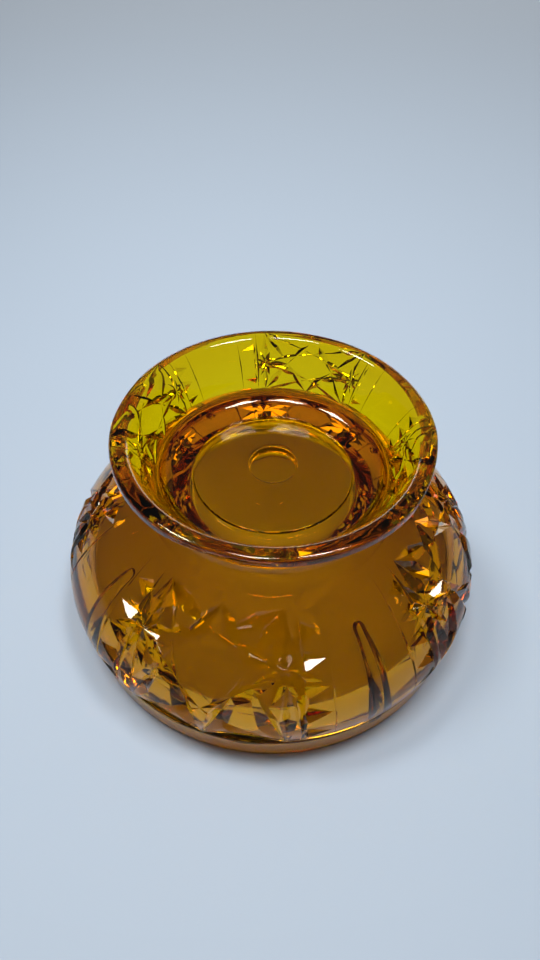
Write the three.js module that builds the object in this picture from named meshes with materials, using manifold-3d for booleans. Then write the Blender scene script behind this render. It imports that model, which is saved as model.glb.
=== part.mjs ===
// Pressed-glass candle stand in amber glass. A wide hollow bowl stands on its plain rim, a short neck
// carries a flared foot, and the foot faces up as a shallow cup with a domed floor.
// Millimetres, +Z up. The origin is the centre of the rim that the bowl stands on.
import * as THREE from 'three';
import { mergeVertices } from 'three/addons/utils/BufferGeometryUtils.js';
import Module from 'manifold-3d';

const wasm = await Module();
wasm.setup();

// Driving dimensions
const HEIGHT = 76;
const BOWL_RADIUS = 67.4;
const RIM_RADIUS = 64.9;
const RIM_BAND_HEIGHT = 9.5;
const STANDING_RING = { inner: 61.6, outer: 63.6 };
const MOUTH_RADIUS = 61.3;
const SEAT = { height: 12, innerRadius: 58 };
const WALL_RADIUS = 57.7;
const LEDGE_HEIGHT = 13;
const WIDEST_HEIGHT = 20;
const SHOULDER = { radius: 44.5, height: 50.6 };
const BOWL_TOP = 54.2;
const NECK_RADIUS = 38;
const CEILING_HEIGHT = 51.7;
const CEILING_CONE = { topRadius: 25.2, topHeight: 51.2, baseRadius: 34.5, baseHeight: 40.5 };
const WAIST = { radius: 36.2, height: 58.5 };
const LIP_RADIUS = 47;
const LIP_HEIGHT = 3;
const LIP_FLAT = { inner: 43.4, outer: 45.6 };
const CUP_MOUTH_RADIUS = 41.8;
const RING_RADIUS = 29.6;
const CUP_WALL_FOOT = { radius: 36.2, height: 64.8 };
const FLOOR_RADIUS = 24.1;
const FLOOR_EDGE_HEIGHT = 57.2;
const FLOOR_CROWN_HEIGHT = 60.8;
const RECESS = { radius: 7.25, depth: 2 };
const JOINT_GAP = 0.3;

// Air channels: upright flutes in the bowl's inner wall, one behind each plain bar
const CHANNEL_COUNT = 4;
const CHANNEL_ANGLE = THREE.MathUtils.degToRad(31);
const CHANNEL = { bottomWidth: 8.6, topWidth: 4.4, height: 35, depth: 3 };

const SEGMENTS = 72;
const CURVE_STEPS = 5;

const amber = (color) => new THREE.MeshStandardMaterial({ color, roughness: 0.06, metalness: 0 });

// A ring or disc spun about Z from an outline of (radius, height), run so that its faces point out
function spun(outline) {
  const points = outline.getPoints(CURVE_STEPS);
  if (THREE.ShapeUtils.isClockWise(points)) points.reverse();
  return new THREE.LatheGeometry(points, SEGMENTS).rotateX(Math.PI / 2);
}

function toSolid(geometry) {
  const bare = geometry.clone();
  bare.deleteAttribute('normal');
  bare.deleteAttribute('uv');
  const merged = mergeVertices(bare, 1e-4);
  const vertProperties = new Float32Array(merged.attributes.position.array);
  const triVerts = new Uint32Array(merged.index.array);
  return new wasm.Manifold(new wasm.Mesh({ numProp: 3, vertProperties, triVerts }));
}

function toGeometry(solid) {
  const mesh = solid.getMesh();
  const geometry = new THREE.BufferGeometry();
  geometry.setAttribute('position', new THREE.BufferAttribute(mesh.vertProperties, 3));
  geometry.setIndex(new THREE.BufferAttribute(mesh.triVerts, 1));
  geometry.computeVertexNormals();
  return geometry;
}

// The hollow inside the bowl, from the edge of the ceiling down its cone and wall to just above the seat
function traceHollow(path, grow) {
  path.lineTo(CEILING_CONE.topRadius + grow, CEILING_CONE.topHeight + grow);
  path.lineTo(CEILING_CONE.baseRadius + grow, CEILING_CONE.baseHeight + grow);
  path.bezierCurveTo(
    46.5 + grow, 34.5 + grow,
    WALL_RADIUS + grow, 31.5 + grow,
    WALL_RADIUS + grow, WIDEST_HEIGHT,
  );
}

// The channels' cutter: four upright tapered bars with round tops, trimmed to a slightly larger hollow
function channelCutters() {
  const half = CHANNEL.bottomWidth / 2;
  const topHalf = CHANNEL.topWidth / 2;
  const face = new THREE.Shape()
    .moveTo(-half, -1)
    .lineTo(half, -1)
    .lineTo(topHalf, CHANNEL.height - topHalf)
    .absarc(0, CHANNEL.height - topHalf, topHalf, 0, Math.PI, false)
    .lineTo(-half, -1);
  const hollow = new THREE.Path().moveTo(0, CEILING_HEIGHT + CHANNEL.depth);
  traceHollow(hollow, CHANNEL.depth);
  hollow.lineTo(WALL_RADIUS + CHANNEL.depth, -1).lineTo(0, -1);
  const largerHollow = toSolid(spun(hollow));

  let cutters = null;
  for (let i = 0; i < CHANNEL_COUNT; i += 1) {
    const bar = new THREE.ExtrudeGeometry(face, {
      depth: BOWL_RADIUS,
      bevelEnabled: false,
      curveSegments: 6,
    });
    // The bar's face stands upright and its length runs outwards from the axis
    bar.rotateX(Math.PI / 2).rotateZ(Math.PI);
    bar.rotateZ(CHANNEL_ANGLE - Math.PI / 2 + (i * 2 * Math.PI) / CHANNEL_COUNT);
    const channel = toSolid(bar).intersect(largerHollow);
    cutters = cutters ? cutters.add(channel) : channel;
  }
  return cutters;
}

// Plain band around the mouth, with the narrow flat ring that everything stands on
function bowlRim() {
  const outline = new THREE.Path()
    .moveTo(STANDING_RING.inner, 0)
    .lineTo(STANDING_RING.outer, 0)
    .lineTo(RIM_RADIUS - 0.3, 1)
    .lineTo(RIM_RADIUS, RIM_BAND_HEIGHT)
    .lineTo(MOUTH_RADIUS - 0.1, RIM_BAND_HEIGHT)
    .lineTo(MOUTH_RADIUS, 0.7)
    .lineTo(STANDING_RING.inner, 0);
  return spun(outline);
}

// Bulging patterned wall with a seat inside its foot, closed at the top by the ceiling under the neck
function bowlWall() {
  const base = RIM_BAND_HEIGHT + JOINT_GAP;
  const outline = new THREE.Path()
    .moveTo(MOUTH_RADIUS - 0.1, base)
    .lineTo(RIM_RADIUS - 1.2, base)
    .lineTo(RIM_RADIUS - 1.2, base + 0.6)
    .lineTo(RIM_RADIUS + 1, LEDGE_HEIGHT - 0.5)
    .lineTo(RIM_RADIUS + 1.2, LEDGE_HEIGHT + 0.5)
    .lineTo(BOWL_RADIUS, WIDEST_HEIGHT - 1.5)
    .lineTo(BOWL_RADIUS, WIDEST_HEIGHT + 1)
    .bezierCurveTo(BOWL_RADIUS - 0.2, 32.5, 53.5, 46, SHOULDER.radius, SHOULDER.height)
    .quadraticCurveTo(SHOULDER.radius - 5, SHOULDER.height + 1.4, NECK_RADIUS, BOWL_TOP)
    .lineTo(0, BOWL_TOP)
    .lineTo(0, CEILING_HEIGHT);
  traceHollow(outline, 0);
  outline
    .lineTo(SEAT.innerRadius, SEAT.height + 0.6)
    .lineTo(SEAT.innerRadius + 0.6, SEAT.height)
    .lineTo(MOUTH_RADIUS - 0.6, SEAT.height)
    .lineTo(MOUTH_RADIUS - 0.1, SEAT.height - 0.8)
    .lineTo(MOUTH_RADIUS - 0.1, base);
  return spun(outline);
}

// Flared ring above the neck: concave waist outside, sloping cup wall inside, rounded lip on top
function footCup() {
  const base = BOWL_TOP + JOINT_GAP;
  const lipBase = HEIGHT - LIP_HEIGHT;
  const innerRadius = FLOOR_RADIUS + JOINT_GAP;
  const outline = new THREE.Path()
    .moveTo(innerRadius, base)
    .lineTo(NECK_RADIUS - 0.2, base)
    .quadraticCurveTo(WAIST.radius, base + 2.2, WAIST.radius, WAIST.height)
    .bezierCurveTo(WAIST.radius + 0.6, 63, WAIST.radius + 3.8, 68, LIP_RADIUS - 0.1, lipBase)
    .lineTo(LIP_RADIUS, HEIGHT - 1)
    .lineTo(LIP_FLAT.outer, HEIGHT)
    .lineTo(LIP_FLAT.inner, HEIGHT)
    .lineTo(CUP_MOUTH_RADIUS, HEIGHT - 0.8)
    .lineTo(CUP_WALL_FOOT.radius, CUP_WALL_FOOT.height)
    .bezierCurveTo(34.7, 61.3, RING_RADIUS + 3.2, 58.4, RING_RADIUS, FLOOR_EDGE_HEIGHT + 0.7)
    .lineTo(innerRadius, FLOOR_EDGE_HEIGHT)
    .lineTo(innerRadius, base);
  return spun(outline);
}

// Round floor of the cup, crowned, with a shallow round recess at its centre
function footFloor() {
  const base = BOWL_TOP + JOINT_GAP;
  const recessFloor = FLOOR_CROWN_HEIGHT - RECESS.depth;
  const outline = new THREE.Path()
    .moveTo(0, base)
    .lineTo(FLOOR_RADIUS, base)
    .lineTo(FLOOR_RADIUS, FLOOR_EDGE_HEIGHT + 0.2)
    .quadraticCurveTo(15, FLOOR_CROWN_HEIGHT - 0.1, RECESS.radius, FLOOR_CROWN_HEIGHT)
    .lineTo(RECESS.radius, recessFloor)
    .lineTo(0, recessFloor);
  return spun(outline);
}

const stand = new THREE.Group();

function place(name, geometry, color) {
  const mesh = new THREE.Mesh(geometry, amber(color));
  mesh.name = name;
  stand.add(mesh);
}

const channels = channelCutters();
place('bowl_rim', toGeometry(toSolid(bowlRim()).subtract(channels)), 0xc8923a);
place('bowl_wall', toGeometry(toSolid(bowlWall()).subtract(channels)), 0xa86608);
place('foot_cup', footCup(), 0xc4a81c);
place('foot_floor', footFloor(), 0x9a6a06);

export default stand;
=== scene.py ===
import math
from bisect import bisect_right

import bpy
from mathutils import Matrix, Vector


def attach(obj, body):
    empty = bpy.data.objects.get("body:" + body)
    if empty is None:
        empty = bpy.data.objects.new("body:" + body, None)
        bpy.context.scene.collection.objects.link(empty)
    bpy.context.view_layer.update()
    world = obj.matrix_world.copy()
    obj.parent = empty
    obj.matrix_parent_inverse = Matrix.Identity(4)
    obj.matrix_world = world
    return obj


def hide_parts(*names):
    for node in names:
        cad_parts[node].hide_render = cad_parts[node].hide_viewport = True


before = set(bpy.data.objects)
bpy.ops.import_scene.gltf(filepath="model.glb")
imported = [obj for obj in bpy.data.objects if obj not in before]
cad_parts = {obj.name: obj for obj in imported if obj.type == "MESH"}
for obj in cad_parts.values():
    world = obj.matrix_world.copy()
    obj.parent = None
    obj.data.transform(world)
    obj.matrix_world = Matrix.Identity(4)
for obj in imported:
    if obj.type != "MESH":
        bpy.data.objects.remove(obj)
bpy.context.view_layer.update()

# A pressed-glass candle stand. The glass is one closed body: a quarter of its skin is laid out flat as
# a strip, cut with the mitres, rays, notches and bites of the pattern, wrapped round the turned outline
# and copied four times about the axis. The air flutes are cut into the closed body afterwards. Modelling
# is in millimetres, the finished mesh in metres.

MM = 0.001

# Turning: the quarter strip and the four plain bars of the pattern
QUARTER = 90.0
BAR_CENTRE = 28.0            # direction of one plain bar, degrees from +X
PANEL_TO_BAR = 45.0          # from the middle of a star panel to the middle of the next bar
FLUTE_SHIFT = -3.0           # degrees: the flutes sit a little to one side of the bars
STRIP_START = -37.5          # the strip begins and ends in the plain glass beside a bar's middle
COLUMNS = 48


# ---------------------------------------------------------------------------------------------------
# Selection helpers
# ---------------------------------------------------------------------------------------------------

def deselect_all():
    bpy.ops.object.select_all(action="DESELECT")


def pick(*objects):
    deselect_all()
    for obj in objects:
        obj.select_set(True)
    bpy.context.view_layer.objects.active = objects[-1]


def edit(obj):
    pick(obj)
    bpy.ops.object.mode_set(mode="EDIT")
    bpy.ops.mesh.select_mode(type="FACE")
    bpy.ops.mesh.select_all(action="DESELECT")


def leave_edit():
    bpy.ops.object.mode_set(mode="OBJECT")


def select_faces(obj, wanted):
    """Select in edit mode the faces for which wanted(centre, normal) is true."""
    bpy.ops.object.mode_set(mode="OBJECT")
    for face in obj.data.polygons:
        face.select = wanted(face.center, face.normal)
    bpy.ops.object.mode_set(mode="EDIT")


def join(objects, name):
    pick(*objects)
    bpy.ops.object.join()
    whole = bpy.context.object
    whole.name = name
    return whole


# ---------------------------------------------------------------------------------------------------
# The turned outline, as (radius, height) from the middle of the cup's floor, over the lip, down the
# outside, round the rim and up the hollow inside to the middle of the ceiling
# ---------------------------------------------------------------------------------------------------

def bezier(start, lead, trail, end, steps):
    """Points along a cubic curve, leaving out its start."""
    points = []
    for i in range(1, steps + 1):
        t = i / steps
        u = 1 - t
        weights = (u ** 3, 3 * u * u * t, 3 * u * t * t, t ** 3)
        knots = (start, lead, trail, end)
        points.append(tuple(sum(w * k[axis] for w, k in zip(weights, knots)) for axis in (0, 1)))
    return points


def corner(start, knee, end, steps=4):
    """A rounded corner from start to end that bends towards knee, leaving out its start."""
    points = []
    for i in range(1, steps + 1):
        t = i / steps
        u = 1 - t
        points.append(tuple(u * u * a + 2 * u * t * b + t * t * c for a, b, c in zip(start, knee, end)))
    return points


def straight(start, end, steps):
    return [tuple(a + (b - a) * i / steps for a, b in zip(start, end)) for i in range(1, steps + 1)]


# The curve of the hollow's wall, from above the seat to the foot of the ceiling's cone
WALL = ((57.7, 20.0), (57.7, 31.5), (46.5, 34.5), (34.5, 40.5))


def build_outline():
    """Return the outline's points, and the distance along it of the marks the pattern hangs on."""
    points = [(0.0, 58.7)]
    marks = {}

    def mark(name):
        marks[name] = sum(math.dist(a, b) for a, b in zip(points, points[1:]))

    # Recess and crowned floor
    points.extend(straight(points[-1], (6.7, 58.7), 3))
    points.extend(corner(points[-1], (7.2, 58.7), (7.2, 59.2)))
    points.extend(straight(points[-1], (7.25, 60.5), 2))
    points.extend(corner(points[-1], (7.27, 60.75), (7.5, 60.74)))
    points.extend(bezier(points[-1], (13.0, 60.3), (18.7, 59.4), (23.95, 58.2), 8))
    points.extend(corner(points[-1], (24.15, 58.1), (24.2, 57.6), 3))
    # Ring round the floor
    points.extend(corner(points[-1], (24.25, 57.2), (24.8, 57.2), 3))
    points.extend(straight(points[-1], (29.6, 57.9), 3))
    # Cup wall and lip
    points.extend(bezier(points[-1], (32.8, 58.4), (34.7, 61.3), (36.2, 64.8), 12))
    points.extend(straight(points[-1], (41.2, 74.4), 5))
    points.extend(bezier(points[-1], (41.9, 75.4), (42.6, 76.0), (43.6, 76.0), 6))
    points.extend(straight(points[-1], (45.4, 76.0), 2))
    points.extend(bezier(points[-1], (46.4, 76.0), (47.0, 75.5), (47.0, 74.7), 6))
    points.extend(straight(points[-1], (47.0, 73.3), 2))
    mark("foot_top")
    # Flared patterned foot down to the plain waist
    points.extend(corner(points[-1], (46.9, 72.9), (46.4, 72.5), 3))
    points.extend(bezier(points[-1], (42.8, 68.6), (38.8, 64.0), (36.4, 59.4), 12))
    mark("foot_bottom")
    points.extend(bezier(points[-1], (36.1, 57.8), (36.3, 55.9), (38.2, 54.2), 5))
    points.extend(bezier(points[-1], (40.0, 52.7), (42.0, 51.9), (43.9, 51.1), 4))
    mark("shoulder")
    points.extend(corner(points[-1], (44.5, 50.85), (45.1, 50.4), 3))
    # Bulging patterned wall of the bowl
    points.extend(bezier(points[-1], (53.5, 45.8), (67.1, 33.0), (67.4, 21.5), 22))
    points.extend(straight(points[-1], (67.2, 18.5), 2))
    points.extend(straight(points[-1], (66.2, 13.9), 3))
    mark("ridge")
    points.extend(corner(points[-1], (66.05, 13.3), (65.6, 12.7), 3))
    points.extend(straight(points[-1], (63.9, 10.6), 2))
    points.extend(corner(points[-1], (63.4, 9.9), (64.2, 9.6), 4))
    points.extend(corner(points[-1], (64.85, 9.4), (64.85, 8.7), 4))
    # Plain rim band, standing ring and mouth
    points.extend(straight(points[-1], (64.6, 1.4), 4))
    points.extend(bezier(points[-1], (64.6, 0.5), (64.2, 0.0), (63.4, 0.0), 6))
    points.extend(straight(points[-1], (62.0, 0.0), 2))
    points.extend(bezier(points[-1], (61.6, 0.0), (61.3, 0.4), (61.3, 1.0), 6))
    # Seat inside the rim
    points.extend(straight(points[-1], (61.15, 10.9), 4))
    points.extend(corner(points[-1], (61.1, 11.9), (60.2, 11.95)))
    points.extend(straight(points[-1], (58.9, 12.0), 1))
    points.extend(corner(points[-1], (58.1, 12.05), (58.0, 12.9)))
    # Hollow of the bowl
    points.extend(straight(points[-1], WALL[0], 4))
    points.extend(bezier(*WALL, 20))
    points.extend(straight(points[-1], (27.2, 49.2), 4))
    points.extend(corner(points[-1], (25.4, 51.4), (22.0, 51.5), 6))
    points.extend(straight(points[-1], (0.0, 51.9), 8))
    return points, marks


class Line:
    """A run of points that flat work is wrapped along, with the outward direction at each of them."""

    def __init__(self, points):
        self.points = [Vector(point) for point in points]
        self.distances = [0.0]
        for before, after in zip(points, points[1:]):
            self.distances.append(self.distances[-1] + math.dist(before, after))
        self.length = self.distances[-1]
        stretches = [(b - a).normalized() for a, b in zip(self.points, self.points[1:])]
        stretches = [stretches[0]] + stretches + [stretches[-1]]
        self.normals = []
        for before, after in zip(stretches, stretches[1:]):
            along = before + after
            self.normals.append(Vector((-along.y, along.x)).normalized())

    def place(self, along, lift):
        """The point a distance along the line and lifted off it, as (radius, height)."""
        along = min(max(along, 0.0), self.length)
        i = min(bisect_right(self.distances, along) - 1, len(self.points) - 2)
        share = (along - self.distances[i]) / (self.distances[i + 1] - self.distances[i])
        normal = self.normals[i].lerp(self.normals[i + 1], share).normalized()
        return self.points[i].lerp(self.points[i + 1], share) + normal * lift


outline_points, marks = build_outline()
outline = Line(outline_points)


# ---------------------------------------------------------------------------------------------------
# The flat strip
# ---------------------------------------------------------------------------------------------------

STRIP_THICKNESS = 6.0


def add_strip():
    """A slab whose top is the skin: columns in degrees along X, distance along the outline in Y."""
    rows = len(outline.points) - 1
    bpy.ops.mesh.primitive_grid_add(x_subdivisions=COLUMNS, y_subdivisions=rows, size=1.0)
    strip = bpy.context.object
    strip.name = "glass"
    for vertex in strip.data.vertices:
        row = round((vertex.co.y + 0.5) * rows)
        vertex.co.x = STRIP_START + QUARTER * (vertex.co.x + 0.5)
        vertex.co.y = outline.distances[row]
    edit(strip)
    bpy.ops.mesh.select_all(action="SELECT")
    bpy.ops.mesh.extrude_region_move(TRANSFORM_OT_translate={"value": (0.0, 0.0, -STRIP_THICKNESS)})
    bpy.ops.mesh.select_all(action="SELECT")
    bpy.ops.mesh.normals_make_consistent(inside=False)
    leave_edit()
    return strip


def model_spindle():
    """A four-sided point at both ends, one unit long: every mitre, ray and notch is a stretched copy."""
    bpy.ops.mesh.primitive_cone_add(vertices=4, radius1=1.0, radius2=0.0, depth=0.5, location=(0, 0, 0.75))
    spindle = bpy.context.object
    bpy.ops.object.transform_apply(location=True, rotation=True, scale=True)
    edit(spindle)
    select_faces(spindle, lambda centre, normal: normal.z < -0.9)
    bpy.ops.mesh.extrude_region_move(TRANSFORM_OT_translate={"value": (0.0, 0.0, -0.5)})
    bpy.ops.mesh.merge(type="CENTER")
    bpy.ops.mesh.select_all(action="SELECT")
    bpy.ops.mesh.normals_make_consistent(inside=False)
    leave_edit()
    return spindle


def stretched(spindle, tail, nose, width, depth, swell=0.5):
    """A copy of the spindle from tail to nose in the plane of the skin, widest at swell of its length."""
    cut = spindle.copy()
    cut.data = spindle.data.copy()
    bpy.context.collection.objects.link(cut)
    tail, nose = Vector((*tail, 0.0)), Vector((*nose, 0.0))
    run = nose - tail
    side = Vector((-run.y, run.x, 0.0)).normalized() * (width / 2)
    up = Vector((0.0, 0.0, depth))
    for vertex in cut.data.vertices:
        across, lift, share = vertex.co
        on_ring = 0.01 < share < 0.99
        place = tail + run * (swell if on_ring else share)
        vertex.co = place + side * across + up * lift
    return cut


def add_scoop(middle, half_width, half_height, depth):
    """A shallow round-bottomed bite, an ellipse where it meets the skin."""
    bpy.ops.mesh.primitive_cone_add(vertices=40, radius1=0.0, radius2=2.0, depth=2.0)
    scoop = bpy.context.object
    for vertex in scoop.data.vertices:
        vertex.co = Vector((
            middle[0] + vertex.co.x * half_width,
            middle[1] + vertex.co.y * half_height,
            vertex.co.z * depth,
        ))
    return scoop


def star_panel(spindle, unit, low, high, middle, column, notch_nose, notches, mitre, ray, scoop,
               scoop_places):
    """Cutters of one star panel, in millimetres across and along, centred on the panel.

    unit is the distance from the panel's middle to each star; low, high and middle are where the
    pattern's top points, bottom points and stars lie; mitre and ray are (width, depth) of the cuts.
    scoop is (place along, half height, depth) of the bites, and scoop_places their middles in units.
    """
    cuts = []

    def cut(tail, nose, size, swell=0.5, share=1.0):
        cuts.append(stretched(spindle, tail, nose, size[0] * share, size[1] * share, swell))

    # Long mitres: each runs from a point on one edge, through a crossing, to a point on the other
    for side in (-1, 1):
        star = (side * unit, middle)
        far = (-side * unit, middle)
        for edge in (low, high):
            crossing = (side * unit * 0.5, middle)
            cut((0.0, edge), crossing, mitre, 0.42)
            cut((side * unit, edge), crossing, mitre, 0.42)
            cross_mid = (0.0, (edge + middle) / 2)
            cut((side * unit, edge), cross_mid, mitre, 0.4, 0.85)
            cut(far, cross_mid, mitre, 0.5, 0.85)
            cut((side * unit, edge), star, mitre, 0.45, 0.8)
        cut(star, (side * unit * 0.5, middle), mitre, 0.45, 0.9)
        # Star of eight rays, its inner ones lying between the mitres
        reach = abs(high - low) * 0.24
        for i in range(8):
            angle = math.radians(22.5 + 45 * i)
            tip = (star[0] + reach * math.cos(angle), star[1] + reach * math.sin(angle))
            cut(star, tip, ray, 0.38)
        # Upright groove beyond the star, and the column of notches that point at the bar
        cut((side * column, low), (side * column, high), ray, 0.5, 0.8)
        pitch = (high - low) / (notches + 0.6)
        for i in range(notches):
            along = low + pitch * (i + 0.8)
            cut((side * (column + 0.2), along), (side * notch_nose, along), (pitch * 0.72, ray[1]), 0.16)
    # Bites between the bottom points
    for share in scoop_places:
        half_width = unit * (1.02 if share == 0.0 else 0.48)
        cuts.append(add_scoop((unit * share, scoop[0]), half_width, scoop[1], scoop[2]))
    return cuts


def place_panel(cuts, name, reference_radius, offset):
    """Join a panel's cutters and move them onto the strip, where X is in degrees."""
    panel = join(cuts, name)
    degrees_per_mm = 180.0 / (math.pi * reference_radius)
    for vertex in panel.data.vertices:
        vertex.co.x *= degrees_per_mm
        vertex.co.y += offset
    return panel


def bar_lines(spindle, low, high, edge, line):
    """The fine upright lines that part a plain bar from the star panels beside it."""
    cuts = []
    for x in (-edge, edge):
        cuts.append(stretched(spindle, (x, low), (x, high), *line))
    return cuts


def add_flute(length, bottom_width, top_width, depth):
    """An upright flute with steep flanks and a round top, flat, its middle at x = 0, its foot at y = 0."""
    top_radius = top_width / 2
    bpy.ops.mesh.primitive_cone_add(
        vertices=24, radius1=bottom_width / 2, radius2=top_radius, depth=length,
        location=(0, length / 2, 0), rotation=(math.radians(-90), 0, 0))
    flute = bpy.context.object
    pick(flute)
    bpy.ops.object.transform_apply(location=True, rotation=True, scale=True)
    edit(flute)
    select_faces(flute, lambda centre, normal: normal.y > 0.9)
    dome_steps = 6
    reach, size = 0.0, 1.0
    for i in range(1, dome_steps + 1):
        turn = math.radians(84.0 * i / dome_steps)
        bpy.ops.mesh.extrude_region_move(
            TRANSFORM_OT_translate={"value": (0, top_radius * (math.sin(turn) - reach), 0)})
        shrink = math.cos(turn) / size
        bpy.ops.transform.resize(value=(shrink, 1, shrink))
        reach, size = math.sin(turn), math.cos(turn)
    bend_step = 2.0
    for i in range(1, int(length / bend_step)):
        bpy.ops.mesh.select_all(action="SELECT")
        bpy.ops.mesh.bisect(plane_co=(0, bend_step * i, 0), plane_no=(0, 1, 0))
    leave_edit()
    # Squeeze the round section towards a V
    sharpness = 1.25
    for vertex in flute.data.vertices:
        radius = math.hypot(vertex.co.x, vertex.co.z)
        across, inwards = abs(vertex.co.x) / radius, abs(vertex.co.z) / radius
        squeeze = (across ** sharpness + inwards ** sharpness) ** (-1 / sharpness)
        vertex.co.x *= squeeze
        vertex.co.z *= squeeze * depth / (bottom_width / 2)
    return flute


def cut_away(solid, cutter):
    """Take the cutter's shape out of the solid, and the cutter out of the scene."""
    pick(solid)
    modifier = solid.modifiers.new("cut", "BOOLEAN")
    modifier.operation = "DIFFERENCE"
    modifier.solver = "EXACT"
    modifier.use_self = True
    modifier.object = cutter
    bpy.ops.object.modifier_apply(modifier=modifier.name)
    bpy.data.objects.remove(cutter, do_unlink=True)


def keep_top_skin(strip):
    """Throw away the slab's bottom and sides, so that only the cut skin is left."""
    edit(strip)
    low_side = STRIP_START + 0.001
    high_side = STRIP_START + QUARTER - 0.001

    def is_slab(centre, normal):
        if centre.z < -STRIP_THICKNESS + 0.01:
            return True
        if centre.x < low_side or centre.x > high_side:
            return True
        return centre.y < 0.001 or centre.y > outline.length - 0.001

    select_faces(strip, is_slab)
    bpy.ops.mesh.delete(type="FACE")
    leave_edit()


def follow_grid(strip):
    """Cut the long facets of the grooves at every column and row, so that they can bend with the skin."""
    edit(strip)
    for i in range(1, COLUMNS):
        bpy.ops.mesh.select_all(action="SELECT")
        bpy.ops.mesh.bisect(plane_co=(STRIP_START + QUARTER * i / COLUMNS, 0, 0), plane_no=(1, 0, 0))
    for along in outline.distances[1:-1]:
        bpy.ops.mesh.select_all(action="SELECT")
        bpy.ops.mesh.bisect(plane_co=(0, along, 0), plane_no=(0, 1, 0))
    leave_edit()


def wrap(flat, line):
    """Bend flat work round the axis along a line: X becomes the angle, Y the place on the line."""
    panel_centre = BAR_CENTRE - PANEL_TO_BAR
    for vertex in flat.data.vertices:
        place = line.place(vertex.co.y, vertex.co.z)
        angle = math.radians(panel_centre - vertex.co.x)
        radius = max(place.x, 0.0)
        vertex.co = Vector((radius * math.cos(angle), radius * math.sin(angle), place.y)) * MM


def turn_four_times(quarter, name):
    """Four copies about the axis, joined."""
    quarters = [quarter]
    for i in range(1, 4):
        turned = quarter.copy()
        turned.data = quarter.data.copy()
        bpy.context.collection.objects.link(turned)
        turned.data.transform(Matrix.Rotation(math.radians(QUARTER * i), 4, "Z"))
        quarters.append(turned)
    return join(quarters, name)


def close_up(whole):
    """Weld the quarters' edges and the poles, and turn every face outwards."""
    edit(whole)
    bpy.ops.mesh.select_all(action="SELECT")
    bpy.ops.mesh.remove_doubles(threshold=0.0005 * MM)
    bpy.ops.mesh.normals_make_consistent(inside=False)
    leave_edit()


def build_glass():
    strip = add_strip()
    spindle = model_spindle()

    # Star panel on the bowl's wall, measured from its middle line
    bowl_high, bowl_low = marks["shoulder"] + 0.8, marks["ridge"] - 0.4
    bowl_scale = 62.0
    degree = math.pi * bowl_scale / 180
    bowl = star_panel(
        spindle, unit=21.5 * degree, low=bowl_high, high=bowl_low, middle=marks["shoulder"] + 17.5,
        column=25.3 * degree, notch_nose=32.6 * degree, notches=5,
        mitre=(6.2, 2.5), ray=(4.8, 2.2), scoop=(bowl_low, 7.5, 2.4),
        scoop_places=(-0.5, 0.5))
    bowl += bar_lines(spindle, bowl_high - 1.0, bowl_low + 1.0, 33.4 * degree, (0.9, 0.35))
    bowl_panel = place_panel(bowl, "bowl_panel", bowl_scale, 0.0)

    # Star panel on the flare of the foot
    foot_high, foot_low = marks["foot_top"] + 0.4, marks["foot_bottom"] - 0.2
    foot_scale = 41.0
    degree = math.pi * foot_scale / 180
    foot = star_panel(
        spindle, unit=21.5 * degree, low=foot_high, high=foot_low, middle=(foot_high + foot_low) / 2,
        column=25.3 * degree, notch_nose=31.5 * degree, notches=3,
        mitre=(2.5, 0.95), ray=(2.0, 0.8), scoop=(foot_high, 3.6, 1.0),
        scoop_places=(0.0,))
    foot += bar_lines(spindle, foot_high - 0.5, foot_low + 0.5, 33.4 * degree, (0.7, 0.25))
    foot_panel = place_panel(foot, "foot_panel", foot_scale, 0.0)

    cut_away(strip, join([bowl_panel, foot_panel], "panels"))
    bpy.data.objects.remove(spindle, do_unlink=True)
    keep_top_skin(strip)
    follow_grid(strip)
    wrap(strip, outline)
    whole = turn_four_times(strip, "glass")
    close_up(whole)

    # Air flutes up the inside of the wall, one behind each bar, open at the seat
    flute_foot = (58.3, 5.0)
    flute_line = Line([flute_foot, WALL[0]] + bezier(*WALL, 20))
    flute = add_flute(length=34.5, bottom_width=8.6, top_width=4.4, depth=4.6)
    wall_radius = 58.0
    degrees_per_mm = 180.0 / (math.pi * wall_radius)
    for vertex in flute.data.vertices:
        vertex.co.x = PANEL_TO_BAR + FLUTE_SHIFT + vertex.co.x * degrees_per_mm
    wrap(flute, flute_line)
    flutes = turn_four_times(flute, "flutes")
    close_up(flutes)
    cut_away(whole, flutes)

    pick(whole)
    bpy.ops.object.shade_smooth_by_angle(angle=math.radians(16))
    return whole


# ---------------------------------------------------------------------------------------------------
# Materials
# ---------------------------------------------------------------------------------------------------

class Socket:
    """A shader socket on which sums and products can be written as plain expressions."""

    def __init__(self, tree, socket):
        self.tree = tree
        self.socket = socket

    def node(self, kind, settings=None, **inputs):
        made = self.tree.nodes.new(kind)
        for name, value in (settings or {}).items():
            setattr(made, name, value)
        for name, value in inputs.items():
            target = made.inputs[int(name[1:])] if name[0] == "_" else made.inputs[name.replace("_", " ")]
            if isinstance(value, Socket):
                self.tree.links.new(value.socket, target)
            else:
                target.default_value = value
        return made

    def maths(self, operation, first, second):
        made = self.node("ShaderNodeMath", {"operation": operation}, _0=first, _1=second)
        return Socket(self.tree, made.outputs[0])

    def __add__(self, other):
        return self.maths("ADD", self, other)

    __radd__ = __add__

    def __mul__(self, other):
        return self.maths("MULTIPLY", self, other)

    __rmul__ = __mul__


def new_material(name):
    material = bpy.data.materials.new(name)
    material.use_nodes = True
    tree = material.node_tree
    return material, tree, tree.nodes["Principled BSDF"], tree.nodes["Material Output"]


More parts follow.
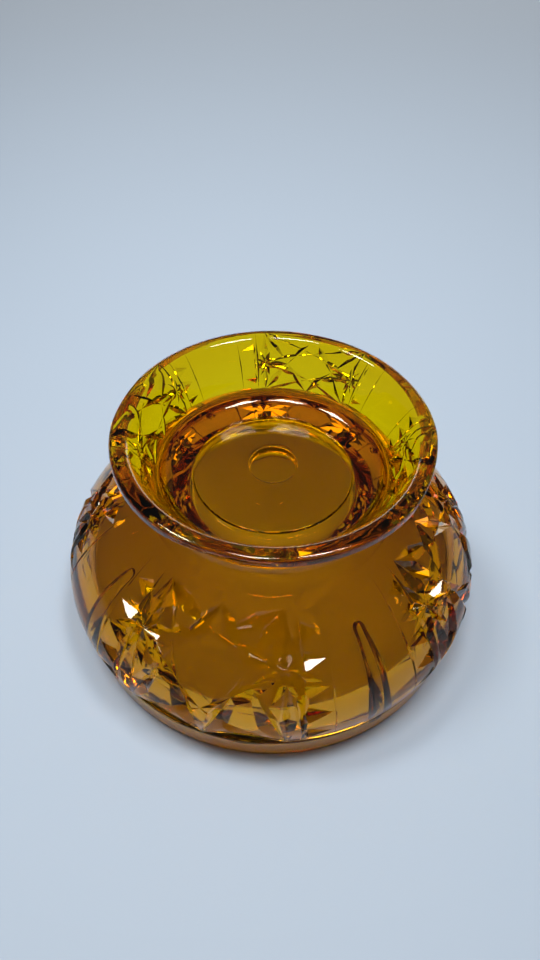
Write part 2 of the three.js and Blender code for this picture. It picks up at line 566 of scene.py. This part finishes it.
def amber_glass():
    material, tree, glass, output = new_material("amber_glass")
    start = Socket(tree, None)
    where = Socket(tree, start.node("ShaderNodeTexCoord").outputs["Object"])

    glass.inputs["Base Color"].default_value = (1.0, 0.75, 0.005, 1.0)
    glass.inputs["IOR"].default_value = 1.52
    glass.inputs["Transmission Weight"].default_value = 1.0
    glass.inputs["Specular IOR Level"].default_value = 0.35
    glass.inputs["Specular Tint"].default_value = (1.0, 0.92, 0.75, 1.0)

    # Fire-polished skin: slow waves left by the mould, and slight handling haze
    waves = start.node("ShaderNodeTexNoise", Vector=where, Scale=140.0, Detail=1.0, Roughness=0.4)
    haze = start.node("ShaderNodeTexNoise", Vector=where, Scale=900.0, Detail=3.0, Roughness=0.6)
    roughness = 0.012 + 0.03 * Socket(tree, haze.outputs["Fac"])
    tree.links.new(roughness.socket, glass.inputs["Roughness"])
    bump = start.node("ShaderNodeBump", Strength=0.4, Distance=0.0002,
                      Height=Socket(tree, waves.outputs["Fac"]))
    tree.links.new(bump.outputs["Normal"], glass.inputs["Normal"])

    # Amber body colour: the deeper the glass, the browner it looks
    body = start.node("ShaderNodeVolumeAbsorption", Color=(0.970, 0.903, 0.0, 1.0), Density=380.0)
    tree.links.new(body.outputs["Volume"], output.inputs["Volume"])
    return material


def pale_floor():
    material, _, floor, _ = new_material("pale_floor")
    floor.inputs["Base Color"].default_value = (0.43, 0.49, 0.565, 1.0)
    floor.inputs["Roughness"].default_value = 0.55
    return material


# ---------------------------------------------------------------------------------------------------
# Studio
# ---------------------------------------------------------------------------------------------------

def add_camera():
    data = bpy.data.cameras.new("camera")
    data.lens = 27.0
    data.sensor_width = 36.0
    data.clip_start = 0.01
    camera = bpy.data.objects.new("camera", data)
    bpy.context.collection.objects.link(camera)
    camera.location = Vector((-0.85, -149.8, 218.6)) * MM
    tilt = Matrix.Rotation(math.radians(42.22), 3, "X")
    roll = Matrix.Rotation(math.radians(1.0), 3, "Z")
    camera.rotation_euler = (tilt @ roll).to_euler()
    bpy.context.scene.camera = camera


def add_light(name, place, aim, size, power, colour, spread=180.0):
    data = bpy.data.lights.new(name, "AREA")
    data.shape = "RECTANGLE"
    data.size, data.size_y = size
    data.energy = power
    data.color = colour
    data.spread = math.radians(spread)
    light = bpy.data.objects.new(name, data)
    bpy.context.collection.objects.link(light)
    light.location = place
    light.rotation_euler = (Vector(aim) - Vector(place)).to_track_quat("-Z", "Y").to_euler()


def add_studio():
    world = bpy.data.worlds.new("dim_room")
    bpy.context.scene.world = world
    world.use_nodes = True
    room = world.node_tree.nodes["Background"]
    room.inputs["Color"].default_value = (0.80, 0.88, 1.0, 1.0)
    room.inputs["Strength"].default_value = 0.09
    # Three soft panels in a row overhead
    cool_white = (0.93, 0.97, 1.0)
    for name, place in (
        ("panel_right", (0.30, -0.03, 1.25)),
        ("panel_middle", (-0.12, -0.09, 1.25)),
        ("panel_left", (-0.56, 0.14, 1.25)),
    ):
        add_light(name, place, (0, 0.10, 0.0), (0.30, 0.24), 1.35, cool_white, spread=80.0)
    # A broad low panel behind, caught by the facets
    add_light("panel_behind", (0.1, 1.5, 0.28), (0, 0, 0.1), (1.8, 0.4), 6.0, cool_white)


def add_floor():
    bpy.ops.mesh.primitive_plane_add(size=6.0)
    floor = bpy.context.object
    floor.name = "floor"
    floor.data.materials.append(pale_floor())


# ---------------------------------------------------------------------------------------------------
# Assembly
# ---------------------------------------------------------------------------------------------------

bpy.context.scene.view_settings.view_transform = "Standard"
add_camera()
add_studio()
add_floor()

glass = build_glass()
glass.data.materials.clear()
glass.data.materials.append(amber_glass())
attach(glass, "root")
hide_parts("bowl_rim", "bowl_wall", "foot_cup", "foot_floor")
